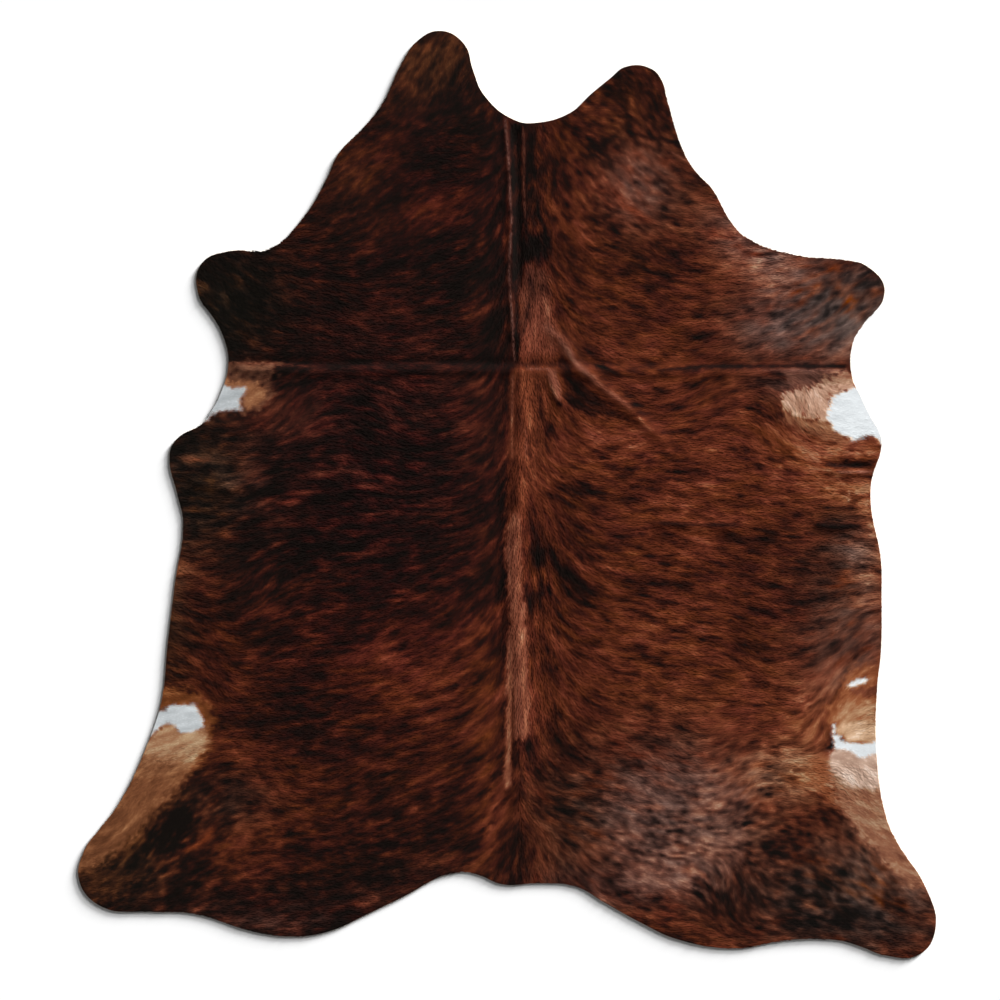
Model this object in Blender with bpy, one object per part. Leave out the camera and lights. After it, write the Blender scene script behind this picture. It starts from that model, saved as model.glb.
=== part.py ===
"""A whole cowhide rug lying flat, hair side up.

The hide is one sheet with a flat underside. Its upper face carries the low relief that a hide
keeps after it has been folded and shipped: the raised line of the spine, the fold across the
shoulders and a few creases. The head end points along +Y, the upper face looks along +Z, and the
origin is on the floor under the middle of the hide's own box.
"""

import math

import bmesh
import bpy
from mathutils import Vector, noise
from mathutils.geometry import delaunay_2d_cdt, intersect_point_line
from mathutils.kdtree import KDTree

MM = 0.001

# --- Driving sizes, in metres --------------------------------------------------------------
SHEET_THICKNESS = 0.003  # tanned skin with its hair pressed flat
EDGE_STEPS = 4  # straight pieces between two points of the outline
INNER_SPACING = 0.056  # between the points that carry the upper face
EDGE_CLEARANCE = 0.020  # inner points stay this far from the cut edge
UNEVENNESS = 0.0006  # slow rise and fall of the upper face
UNEVENNESS_LENGTH = 0.28  # from one rise to the next, roughly

# --- The cut edge, from above, clockwise, as (x, y) in millimetres ---------------------------
# x grows to the right and y towards the head, from the middle of the hide's box.
OUTLINE = {
    "left neck tip": ((-260, 1084), (-228, 1131), (-168, 1159), (-108, 1126), (-86, 1062), (-60, 1001)),
    "neck cut": ((23, 934), (70, 929), (160, 956), (207, 999)),
    "right neck tip": ((258, 1041), (295, 1069), (360, 1064), (386, 1035), (398, 991)),
    "right neck": ((443, 851), (473, 804), (510, 766), (560, 679), (598, 641)),
    "right foreleg": ((732, 596), (842, 586), (898, 571), (943, 509), (882, 416), (863, 379)),
    "right elbow": ((862, 291), (883, 246), (908, 194), (932, 151), (935, 121), (910, 36)),
    "right flank": ((909, -34), (933, -159), (935, -260), (933, -400), (925, -469), (922, -639)),
    "right hind leg": (
        (948, -812), (975, -871), (1045, -981), (1070, -1084), (1030, -1149), (942, -1151),
    ),
    "right rump": (
        (882, -1129), (828, -1114), (692, -1114), (568, -1134), (418, -1109), (340, -1073), (232, -1013),
        (178, -981),
    ),
    "tail stub": ((78, -971), (-12, -974), (-70, -951), (-118, -942)),
    "left rump": ((-272, -1011), (-355, -1051), (-438, -1089), (-518, -1104)),
    "left hind leg": (
        (-625, -1094), (-788, -1046), (-898, -1042), (-1015, -1029), (-1070, -964), (-1055, -886),
        (-1010, -826), (-968, -769),
    ),
    "left flank": (
        (-902, -631), (-865, -519), (-848, -366), (-830, -219), (-810, -66), (-824, -1), (-844, 99),
        (-829, 136),
    ),
    "left elbow": ((-755, 183), (-742, 205), (-720, 244), (-697, 329)),
    "left foreleg": (
        (-712, 401), (-740, 451), (-770, 494), (-765, 576), (-690, 609), (-600, 611),
    ),
    "left neck": ((-510, 691), (-450, 791), (-422, 851), (-352, 924), (-315, 971)),
}

# --- Folds and creases in the upper face -----------------------------------------------------
# Columns: name, height in mm (a trough is negative), half width in mm, points as (x, y) in mm.
CREASES = (
    ("neck seam", 1.4, 9, ((-4, 925), (6, 800), (10, 640), (10, 500), (14, 380))),
    ("neck channel", -1.1, 10, ((22, 922), (28, 760), (30, 600), (34, 500))),
    ("spine", 2.0, 24, ((32, 440), (28, 320), (32, 120), (24, -60), (20, -200), (22, -320), (32, -440),
                        (32, -560), (28, -700), (32, -800))),
    ("shoulder fold", 2.2, 13, ((-690, 312), (-480, 306), (-240, 309), (-20, 308), (110, 308),
                                (380, 304), (640, 305), (840, 306))),
    ("shoulder fold trough", -1.3, 10, ((-690, 334), (-480, 328), (-240, 331), (-20, 331), (110, 331),
                                        (380, 326), (640, 327), (840, 328))),
    ("shoulder ridge", 4.0, 15, ((96, 420), (150, 372), (178, 322), (226, 278), (304, 216), (358, 166),
                                 (410, 124))),
    ("shoulder ridge, small", 2.0, 12, ((102, 311), (122, 249), (145, 204))),
    ("right flank crease", 1.8, 12, ((792, 62), (850, 54), (905, 50))),
    ("right flank trough", -1.2, 9, ((792, 82), (850, 74), (905, 70))),
    ("right belly crease", 1.6, 12, ((358, -72), (470, -80), (578, -80))),
    ("right belly end crease", 1.6, 12, ((762, -80), (830, -82), (890, -78))),
    ("left belly crease", 1.2, 14, ((-800, 30), (-700, 18), (-600, 24))),
)
CREASE_STEP = 0.034  # between the points along a crease
CREASE_ROWS = (-1.7, -0.85, 0.0, 0.85, 1.7)  # across it, in half widths
CREASE_GAP = 0.009  # least distance between the points of creases that meet

INSIDE_THE_RING = 1  # the triangulation keeps only what the closed edge holds
WELD = 1e-6

HIDE_COLOUR = (0.085, 0.030, 0.015, 1.0)  # mahogany brown hair
HIDE_ROUGHNESS = 0.62


def clear_scene():
    for found in list(bpy.data.objects):
        bpy.data.objects.remove(found, do_unlink=True)


def collection(name):
    made = bpy.data.collections.new(name)
    bpy.context.scene.collection.children.link(made)
    return made


def outline_curve(guides):
    """The cut edge as one closed, smooth, flat curve through the outline's points."""
    points = [point for stretch in OUTLINE.values() for point in stretch]
    data = bpy.data.curves.new("cut_edge", "CURVE")
    data.dimensions = "2D"
    data.fill_mode = "NONE"
    data.resolution_u = EDGE_STEPS
    spline = data.splines.new("BEZIER")
    spline.bezier_points.add(len(points) - 1)
    spline.use_cyclic_u = True
    for knot, (x, y) in zip(spline.bezier_points, points):
        knot.co = (x * MM, y * MM, 0.0)
        knot.handle_left_type = "AUTO"
        knot.handle_right_type = "AUTO"
    curve = bpy.data.objects.new("cut_edge", data)
    curve.hide_render = True
    curve.display_type = "WIRE"
    guides.objects.link(curve)
    return curve


def edge_points(curve):
    """The curve's points in order, and the middle of their box."""
    bpy.context.view_layer.update()
    drawn = curve.evaluated_get(bpy.context.evaluated_depsgraph_get())
    mesh = bpy.data.meshes.new_from_object(drawn)
    edge = [vertex.co.xy for vertex in mesh.vertices]
    bpy.data.meshes.remove(mesh)
    low = Vector((min(p.x for p in edge), min(p.y for p in edge)))
    high = Vector((max(p.x for p in edge), max(p.y for p in edge)))
    return edge, (low + high) / 2


def away_from(point, line):
    """The distance from a point to a line of points, and how far along it the nearest place is."""
    best, best_along, walked = math.inf, 0.0, 0.0
    for start, end in zip(line, line[1:]):
        length = (end - start).length
        share = intersect_point_line(point, start, end)[1]
        share = min(max(share, 0.0), 1.0)
        distance = (point - start.lerp(end, share)).length
        if distance < best:
            best, best_along = distance, walked + share * length
        walked += length
    return best, best_along, walked


def crease_lines():
    """Each crease as (height, half width, line of points), in metres."""
    return [
        (height * MM, half_width * MM, [Vector((x * MM, y * MM)) for x, y in points])
        for _, height, half_width, points in CREASES
    ]


def relief(point, creases):
    """How far the upper face stands above or below the plain sheet at a point."""
    slow = Vector((point.x, point.y, 0.0)) / UNEVENNESS_LENGTH
    height = UNEVENNESS * noise.noise(slow)
    for crest, half_width, line in creases:
        distance, along, length = away_from(point, line)
        fade = min(along, length - along) / (2 * half_width)
        across = math.exp(-((distance / half_width) ** 2))
        height += crest * across * min(max(fade, 0.0), 1.0)
    return height


def lattice(edge):
    """Points in staggered rows over the box of the cut edge."""
    row_gap = INNER_SPACING * math.sqrt(3) / 2
    left, right = min(p.x for p in edge), max(p.x for p in edge)
    low, high = min(p.y for p in edge), max(p.y for p in edge)
    for row in range(int((high - low) / row_gap) + 1):
        shift = INNER_SPACING / 2 * (row % 2)
        for column in range(int((right - left) / INNER_SPACING) + 1):
            yield Vector((left + shift + column * INNER_SPACING, low + row * row_gap))


def along_creases(creases):
    """Rows of points along each crease and to both sides of it, so that its form is drawn."""
    for _, half_width, line in creases:
        for start, end in zip(line, line[1:]):
            run = end - start
            side = Vector((-run.y, run.x)).normalized() * half_width
            steps = max(1, round(run.length / CREASE_STEP))
            for step in range(steps):
                for row in CREASE_ROWS:
                    yield start.lerp(end, step / steps) + side * row


def inside(point, edge):
    """True if a point lies within the closed cut edge."""
    crossings = 0
    for a, b in zip(edge, edge[1:] + edge[:1]):
        if (a.y > point.y) != (b.y > point.y):
            reach = a.x + (point.y - a.y) * (b.x - a.x) / (b.y - a.y)
            crossings += reach > point.x
    return crossings % 2 == 1


def add_spaced(kept, candidates, gap):
    """Adds to the kept points each candidate that lies at least a gap from all of them."""
    cells = {}

    def cell_of(point):
        return math.floor(point.x / gap), math.floor(point.y / gap)

    for point in kept:
        cells.setdefault(cell_of(point), []).append(point)
    for point in candidates:
        column, row = cell_of(point)
        around = [(column + i, row + j) for i in (-1, 0, 1) for j in (-1, 0, 1)]
        near = [other for place in around for other in cells.get(place, ())]
        if all((point - other).length >= gap for other in near):
            cells.setdefault((column, row), []).append(point)
            kept.append(point)


def inner_points(edge, creases):
    """The creases' own points, and the lattice wherever it has room beside them."""
    rim = KDTree(len(edge))
    for index, point in enumerate(edge):
        rim.insert(point.to_3d(), index)
    rim.balance()

    def fits(point):
        return rim.find(point.to_3d())[2] >= EDGE_CLEARANCE and inside(point, edge)

    kept = []
    add_spaced(kept, filter(fits, along_creases(creases)), CREASE_GAP)
    add_spaced(kept, filter(fits, lattice(edge)), INNER_SPACING / 2)
    return kept


def hide_mesh(edge, centre, creases):
    """One closed sheet: the uneven upper face, the cut edge and the flat underside."""
    points = edge + inner_points(edge, creases)
    ring = [(index, (index + 1) % len(edge)) for index in range(len(edge))]
    placed, _, triangles, *_ = delaunay_2d_cdt(points, ring, [], INSIDE_THE_RING, WELD)

    shape = bmesh.new()
    upper = []
    for point in placed:
        height = SHEET_THICKNESS + relief(point, creases)
        upper.append(shape.verts.new((point.x - centre.x, point.y - centre.y, height)))
    for triangle in triangles:
        shape.faces.new([upper[index] for index in triangle])

    rim = [side for side in shape.edges if side.is_boundary]
    dropped = bmesh.ops.extrude_edge_only(shape, edges=rim)["geom"]
    floor_edges = [part for part in dropped if isinstance(part, bmesh.types.BMEdge)]
    for part in dropped:
        if isinstance(part, bmesh.types.BMVert):
            part.co.z = 0.0
    floor_edges = [side for side in floor_edges if all(v.co.z == 0.0 for v in side.verts)]
    bmesh.ops.edgeloop_fill(shape, edges=floor_edges)
    bmesh.ops.recalc_face_normals(shape, faces=shape.faces)

    mesh = bpy.data.meshes.new("cowhide")
    shape.to_mesh(mesh)
    shape.free()
    return mesh


def hide_material():
    material = bpy.data.materials.new("hair_on_hide")
    material.use_nodes = True
    shader = material.node_tree.nodes["Principled BSDF"]
    shader.inputs["Base Color"].default_value = HIDE_COLOUR
    shader.inputs["Roughness"].default_value = HIDE_ROUGHNESS
    shader.inputs["Metallic"].default_value = 0.0
    return material


def cowhide(parts, guides):
    edge, centre = edge_points(outline_curve(guides))
    mesh = hide_mesh(edge, centre, crease_lines())
    mesh.shade_smooth()
    mesh.set_sharp_from_angle(angle=math.radians(50))
    mesh.materials.append(hide_material())
    hide = bpy.data.objects.new("cowhide", mesh)
    parts.objects.link(hide)
    return hide


def main():
    clear_scene()
    parts = collection("cowhide rug")
    guides = collection("guides")
    cowhide(parts, guides)


main()
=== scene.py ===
"""Looks of the cowhide rug: the uneven skin, its brindled coat of lying hair, and the pale patches.

Plan coordinates are millimetres in the frame of the solid: x to the right and y towards the neck,
from the middle of the hide. Heights are metres above the floor.
"""

import math

import bmesh
import bpy
import numpy as np
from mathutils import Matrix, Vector, noise
from mathutils.geometry import delaunay_2d_cdt

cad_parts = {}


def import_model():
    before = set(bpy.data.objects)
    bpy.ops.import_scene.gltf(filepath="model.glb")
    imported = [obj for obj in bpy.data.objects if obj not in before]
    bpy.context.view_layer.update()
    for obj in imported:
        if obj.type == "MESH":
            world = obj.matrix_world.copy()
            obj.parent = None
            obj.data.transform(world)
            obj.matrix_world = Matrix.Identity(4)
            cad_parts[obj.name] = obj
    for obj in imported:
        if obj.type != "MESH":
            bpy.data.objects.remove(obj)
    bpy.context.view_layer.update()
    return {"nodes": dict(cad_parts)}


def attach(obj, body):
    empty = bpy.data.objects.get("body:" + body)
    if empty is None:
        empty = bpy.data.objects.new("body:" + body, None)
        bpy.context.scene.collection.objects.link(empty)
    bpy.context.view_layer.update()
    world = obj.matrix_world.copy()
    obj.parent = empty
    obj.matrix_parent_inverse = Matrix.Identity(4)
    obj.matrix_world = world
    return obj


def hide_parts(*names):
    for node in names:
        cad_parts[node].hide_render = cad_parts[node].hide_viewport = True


MM = 0.001

# --- The skin ---
SKIN_THICKNESS = 0.003
UNEVENNESS = 0.0006  # slow rise and fall of the upper face
UNEVENNESS_WAVE = 0.28
RELIEF_STEP = 3.0  # mm between the points at which the relief is worked out
EDGE_STEP = 0.006  # between the points of the smoothed cut edge
SKIN_SPACING = 0.0078  # between the points of the upper face
SKIN_CLEARANCE = 0.004  # upper points stay this far from the cut edge
SHARP_EDGE = 50.0  # degrees from which the sheet's edges stay sharp
WELD = 1e-6
ON_THE_FLOOR = 0.0003  # a point lower than this belongs to the underside
INSIDE_THE_RING = 1  # the triangulation keeps only what the closed edge holds
FLAT_AREA = 3.37  # square metres within the cut edge

# Columns: name, height in mm (a trough is negative), half width in mm, points as (x, y) in mm.
CREASES = (
    ("neck seam", 1.4, 9, ((-4, 925), (6, 800), (10, 640), (10, 500), (14, 380))),
    ("neck channel", -1.1, 10, ((22, 922), (28, 760), (30, 600), (34, 500))),
    ("spine", 2.0, 24, ((32, 440), (28, 320), (32, 120), (24, -60), (20, -200), (22, -320), (32, -440),
                        (32, -560), (28, -700), (32, -800))),
    ("shoulder fold", 1.5, 13, ((-690, 312), (-480, 306), (-240, 309), (-20, 308), (110, 308),
                                (380, 304), (640, 305), (840, 306))),
    ("shoulder fold trough", -0.8, 10, ((-690, 334), (-480, 328), (-240, 331), (-20, 331), (110, 331),
                                        (380, 326), (640, 327), (840, 328))),
    ("shoulder ridge", 2.3, 18, ((96, 420), (150, 372), (178, 322), (226, 278), (304, 216), (358, 166),
                                 (410, 124))),
    ("shoulder ridge, small", 2.0, 12, ((102, 311), (122, 249), (145, 204))),
    ("right flank crease", 1.8, 12, ((792, 62), (850, 54), (905, 50))),
    ("right flank trough", -1.2, 9, ((792, 82), (850, 74), (905, 70))),
    ("right belly crease", 1.6, 12, ((358, -72), (470, -80), (578, -80))),
    ("right belly end crease", 1.6, 12, ((762, -80), (830, -82), (890, -78))),
    ("left belly crease", 1.2, 14, ((-800, 30), (-700, 18), (-600, 24))),
)

# --- Which way the hair lies ---
# The parting line along the back, as (x, y) in mm from the neck to the tail.
PARTING = (
    (-4, 1160), (4, 900), (8, 700), (12, 500), (18, 300), (24, 100), (26, -60), (26, -300), (32, -560),
    (30, -700), (32, -1000),
)
# From the parting outwards the hair turns from straight down the back to nearly level.
# Columns: droop far out in degrees, droop gained at the parting, reach in mm, sharpness.
LEFT_DROOP = (4, 80, 96, 1.3)
RIGHT_DROOP = (4, 88, 165, 1.8)
# Rows of x, y, reach in mm, and by how many degrees the hair's outer end rises, by region.
TURNS = {
    "left neck": (
        (-192, 1036, 150, -60), (-330, 686, 150, -20), (-105, 886, 110, 40), (-100, 611, 60, 14),
        (-395, 810, 110, -25), (-225, 690, 85, -18),
    ),
    "left foreleg and shoulder": (
        (-715, 495, 150, 48), (-110, 411, 50, 20), (-425, 505, 60, 16), (-430, 411, 125, 12),
    ),
    "left elbow and chest": ((-305, 224, 115, 22), (-330, 60, 150, 13), (-535, 226, 100, -42)),
    "left flank and back": (
        (-617, 11, 60, -19), (-818, 11, 75, 12), (-618, -236, 95, -45), (-117, -289, 60, -12),
        (-192, -314, 200, -9),
    ),
    "left loin and haunch": (
        (-768, -364, 140, 36), (-617, -389, 60, -20), (-320, -400, 90, -14), (-717, -489, 50, 38),
    ),
    "left rump": ((-370, -740, 110, -12), (-192, -764, 200, -12)),
    "left hind leg": ((-892, -814, 200, -45), (-600, -740, 90, 22)),
    "right neck": (
        (300, 840, 150, -35), (230, 930, 90, 25), (83, 790, 70, -14), (383, 611, 70, -18),
        (370, 1011, 100, -45),
    ),
    "right shoulder and foreleg": (
        (83, 440, 70, -14), (383, 440, 70, -10), (858, 461, 140, 42), (632, 399, 125, 20),
    ),
    "right chest and elbow": (
        (482, 246, 95, 27), (150, 56, 90, 24), (283, 111, 60, 14), (670, 161, 88, -35),
        (750, 236, 70, -65),
    ),
    "right back and flank": ((83, 11, 45, 20), (283, -89, 60, 16), (582, -264, 200, -8)),
    "right loin and thigh": (
        (858, -364, 115, 38), (820, -514, 100, 50), (190, -340, 70, 13), (583, -389, 55, -17),
        (683, -489, 60, -14), (783, -589, 50, 22), (470, -610, 80, -16), (545, -626, 88, 30),
        (795, -601, 55, 28),
    ),
    "right rump": (
        (383, -689, 70, -16), (95, -760, 80, 14), (332, -864, 175, -10), (120, -764, 130, 38),
        (588, -764, 75, 36), (560, -989, 80, -85),
    ),
    "right hind leg": ((908, -889, 175, -35), (880, -690, 60, -35)),
}

# --- The coat's tone: 0 is black, 0.3 dark brown, 0.6 rust, 0.9 light brown and 1.2 tan ---
# The coat is darker left of the parting than right of it: partly its own colour, partly painted shade on
# the left and painted light on the right, as from a lamp on the right.
LEFT_TONE = 0.22
RIGHT_TONE = 0.58
TONE_TURN_WIDTH = 15  # mm, across the parting
# Soft ovals by region, as x, y, half length and half width in mm, turn in degrees, change of tone.
TONE_PATCHES = {
    "left neck": (
        (-195, 1075, 130, 105, 0, 0.17), (-245, 1020, 60, 40, 60, 0.02), (-120, 1010, 90, 40, 90, -0.03),
        (-140, 1110, 50, 50, 0, 0.12), (-300, 895, 90, 60, 60, 0.09), (-145, 890, 130, 70, 80, -0.12),
        (-390, 810, 100, 75, 45, 0.18), (-445, 712, 60, 45, 40, -0.10), (-175, 728, 95, 40, 24, 0.30),
        (-518, 636, 60, 50, 0, 0.15), (-130, 590, 120, 60, 20, -0.12),
    ),
    "left foreleg and shoulder": ((-640, 480, 170, 120, 0, -0.15), (-750, 402, 75, 50, 0, -0.21)),
    "left elbow and chest": (
        (-540, 285, 70, 45, 0, -0.08), (-570, 205, 95, 60, 0, 0.19), (-345, 215, 60, 50, 0, -0.10),
        (-95, 205, 80, 75, 90, 0.17), (-195, 105, 80, 45, 0, -0.08), (-810, 80, 60, 120, 0, -0.12),
        (-768, 98, 40, 22, -5, 0.25), (-668, 56, 62, 16, 5, 0.30), (-690, 112, 80, 36, 0, 0.12),
    ),
    "left flank and back": (
        (-748, 11, 34, 16, -10, 0.20), (-850, -160, 160, 45, 90, 0.35), (-780, -200, 90, 55, 0, 0.30),
        (-268, -64, 260, 130, 0, -0.06), (-95, -190, 80, 45, 0, 0.10), (-472, -139, 75, 20, 0, -0.20),
    ),
    "left loin and haunch": (
        (-670, -636, 70, 42, 0, 0.36), (-690, -505, 90, 60, 0, 0.19), (-535, -425, 130, 80, 20, 0.12),
        (-700, -410, 120, 80, 0, 0.08), (-230, -430, 160, 110, 0, 0.40), (-642, -389, 120, 80, 0, 0.08),
        (-165, -620, 110, 110, 0, 0.24), (-640, -600, 60, 40, 0, -0.08), (-42, -560, 240, 40, 90, 0.19),
    ),
    "left rump": (
        (-340, -790, 220, 110, 0, 0.07), (-585, -810, 85, 80, 0, 0.22), (-480, -930, 120, 50, 20, 0.08),
        (-520, -700, 180, 80, 0, 0.19), (-345, -890, 70, 55, 0, -0.08), (-48, -815, 160, 45, 90, 0.36),
        (-145, -940, 75, 65, 0, 0.22),
    ),
    "left hind leg": (
        (-640, -1085, 80, 35, 10, 0.14), (-832, -834, 60, 36, 45, -0.25), (-725, -764, 70, 36, 0, -0.04),
        (-672, -861, 120, 75, 20, 0.23), (-740, -695, 50, 45, 0, 0.06), (-855, -845, 140, 35, 50, -0.08),
        (-1005, -1006, 70, 35, 0, -0.10),
    ),
    "right neck": (
        (55, 786, 190, 35, 90, -0.30), (72, 616, 40, 24, 0, -0.45), (157, 605, 50, 50, 0, -0.09),
        (190, 850, 160, 220, 0, -0.16), (310, 1000, 120, 105, 0, -0.23), (105, 815, 100, 60, 90, -0.16),
        (325, 770, 90, 100, 0, 0.20), (455, 812, 45, 55, 40, -0.12), (150, 705, 70, 34, -50, 0.18),
        (378, 611, 130, 40, 0, -0.17),
    ),
    "right shoulder and foreleg": (
        (70, 449, 115, 40, 90, 0.12), (350, 440, 250, 110, 0, -0.06), (360, 520, 70, 45, 0, -0.12),
        (665, 405, 65, 40, 0, 0.13), (612, 611, 120, 60, -30, 0.21), (670, 549, 110, 80, 0, 0.22),
        (757, 511, 60, 50, 0, -0.19), (885, 520, 70, 60, 0, -0.20), (845, 590, 110, 32, 0, -0.12),
        (862, 400, 45, 70, 0, 0.16), (812, 366, 65, 30, 20, 0.18), (735, 356, 50, 30, 0, -0.14),
        (375, 325, 130, 45, 0, 0.12),
    ),
    "right chest and elbow": (
        (65, 161, 170, 55, 90, 0.18), (560, 300, 70, 45, 0, -0.12), (345, 210, 70, 40, 0, -0.08),
        (790, 95, 140, 90, 0, 0.36), (862, 90, 60, 40, 0, 0.07), (370, 110, 150, 45, 0, 0.12),
        (230, 115, 80, 50, 0, 0.18),
    ),
    "right back and flank": (
        (838, -4, 70, 30, 0, 0.20), (760, -201, 90, 90, 0, -0.14), (815, -112, 40, 20, 0, -0.14),
        (868, -190, 45, 130, 0, 0.15), (922, -110, 190, 50, 90, 0.38), (600, -110, 90, 50, 0, -0.10),
        (715, -240, 90, 60, 0, -0.10), (432, -226, 55, 12, 0, -0.42), (455, -105, 70, 60, 90, 0.21),
        (215, 0, 120, 60, 0, -0.14), (178, -226, 60, 20, -45, -0.45), (85, -156, 28, 28, 0, -0.35),
        (175, -120, 140, 80, -60, -0.10), (260, -190, 60, 50, 0, 0.12), (105, -290, 80, 40, 0, -0.10),
        (655, -285, 70, 45, 0, -0.10), (66, -170, 120, 34, 90, -0.16),
    ),
    "right loin and thigh": (
        (390, -345, 120, 70, 20, 0.12), (410, -495, 110, 50, 0, 0.05), (660, -395, 90, 45, 0, -0.10),
        (66, -490, 60, 34, 90, 0.12), (858, -474, 80, 50, 0, 0.20), (865, -385, 60, 32, 0, -0.16),
        (690, -530, 100, 65, 0, 0.19), (752, -516, 22, 24, 0, 0.28), (165, -620, 90, 90, 0, -0.26),
        (92, -616, 34, 24, 0, -0.10), (372, -612, 62, 20, -10, -0.26),
    ),
    "right rump": (
        (390, -690, 80, 45, -10, -0.14), (462, -850, 150, 140, 0, 0.17), (555, -790, 60, 50, 0, 0.12),
        (545, -1014, 70, 60, 0, -0.34), (460, -975, 60, 40, 0, 0.14), (106, -700, 34, 26, -15, -0.36),
        (205, -790, 130, 60, -20, -0.24), (240, -895, 80, 40, -20, 0.05), (205, -975, 100, 50, 0, -0.20),
        (75, -889, 90, 60, 0, -0.16), (5, -775, 90, 28, 90, 0.18), (55, -790, 50, 40, 0, 0.10),
    ),
    "right hind leg": (
        (730, -680, 140, 85, 0, 0.40), (945, -764, 130, 60, -60, 0.30), (745, -980, 130, 75, -10, -0.34),
        (760, -1064, 190, 45, 6, -0.32), (862, -985, 55, 45, -40, 0.12), (1010, -1130, 75, 65, 0, -0.17),
        (808, -806, 36, 26, -30, -0.30), (662, -876, 50, 22, 0, -0.30),
    ),
}
# Ovals in the same columns, and how much greyer the coat is in them: partly grey hair, partly a painted
# sheen, the pinkish grey of hair that reflects the light, as on the right neck, the right foreleg and the
# right rump.
GREY_AND_SHEEN_PATCHES = {
    "left neck": ((-180, 1080, 130, 120, 0, 0.03),),
    "left foreleg and shoulder": ((-700, 470, 130, 130, 0, 0.11),),
    "left elbow and chest": ((-330, 180, 300, 330, 0, 0.04),),
    "left flank and back": ((-760, 20, 150, 150, 0, 0.11), (-848, -264, 150, 60, 90, 0.06)),
    "left rump": ((-540, -1060, 260, 60, 0, 0.10), (-268, -964, 160, 50, 15, 0.03)),
    "left hind leg": ((-700, -764, 100, 60, 0, 0.07), (-960, -950, 150, 90, 0, 0.04)),
    "right neck": ((335, 775, 90, 100, 0, 0.12),),
    "right shoulder and foreleg": (
        (595, 636, 110, 60, -30, 0.13), (825, 480, 160, 120, 0, 0.32), (660, 411, 110, 70, 0, 0.08),
    ),
    "right chest and elbow": ((732, 280, 100, 40, 0, 0.12),),
    "right back and flank": ((862, -130, 60, 70, 0, 0.11),),
    "right loin and thigh": ((885, -330, 70, 130, 0, 0.10), (800, -330, 90, 190, 0, 0.07)),
    "right rump": (
        (420, -800, 170, 150, -25, 0.20), (430, -960, 110, 50, -10, 0.06), (180, -800, 110, 130, 0, 0.07),
        (220, -985, 170, 50, 0, 0.10),
    ),
    "right hind leg": (
        (860, -1010, 210, 130, 0, 0.19), (905, -790, 60, 110, 20, 0.08), (680, -700, 110, 70, 0, 0.07),
    ),
}
# Ovals, and by how many thousandths of the colour circle the hue turns towards gold in them.
GOLDEN_PATCHES = {
    "left neck": (
        (-180, 1080, 130, 120, 0, 15), (-170, 780, 200, 200, 0, -6), (-385, 780, 90, 110, 0, 9),
    ),
    "left foreleg and shoulder": ((-700, 470, 130, 130, 0, 36),),
    "left flank and back": (
        (-760, 30, 100, 150, 0, 30), (-860, -300, 60, 180, 0, 19), (-330, 0, 300, 560, 0, -11),
    ),
    "left hind leg": (
        (-700, -770, 90, 60, 0, 8), (-930, -830, 170, 90, 45, 14), (-960, -950, 150, 90, 0, 12),
    ),
    "right neck": ((310, 960, 100, 80, 0, 4), (385, 770, 95, 110, 0, 3)),
    "right shoulder and foreleg": ((845, 470, 140, 110, 0, 12),),
    "right chest and elbow": ((400, 60, 330, 420, 0, -2),),
    "right back and flank": ((850, -230, 80, 240, 0, 7),),
    "right rump": ((170, -800, 110, 130, 0, 9), (480, -830, 150, 120, 0, 8)),
    "right hind leg": (
        (710, -700, 120, 60, 0, 12), (850, -1000, 200, 120, 0, 15), (905, -790, 60, 110, 20, 10),
    ),
}
# Dark spots in the tan patch of the left elbow, as (x, y) in mm.
SPOTS = ((-706, 311), (-690, 300), (-676, 311), (-660, 297), (-646, 307), (-634, 293), (-622, 303),
         (-606, 292), (-596, 306), (-584, 294), (-610, 274), (-586, 276))
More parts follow.
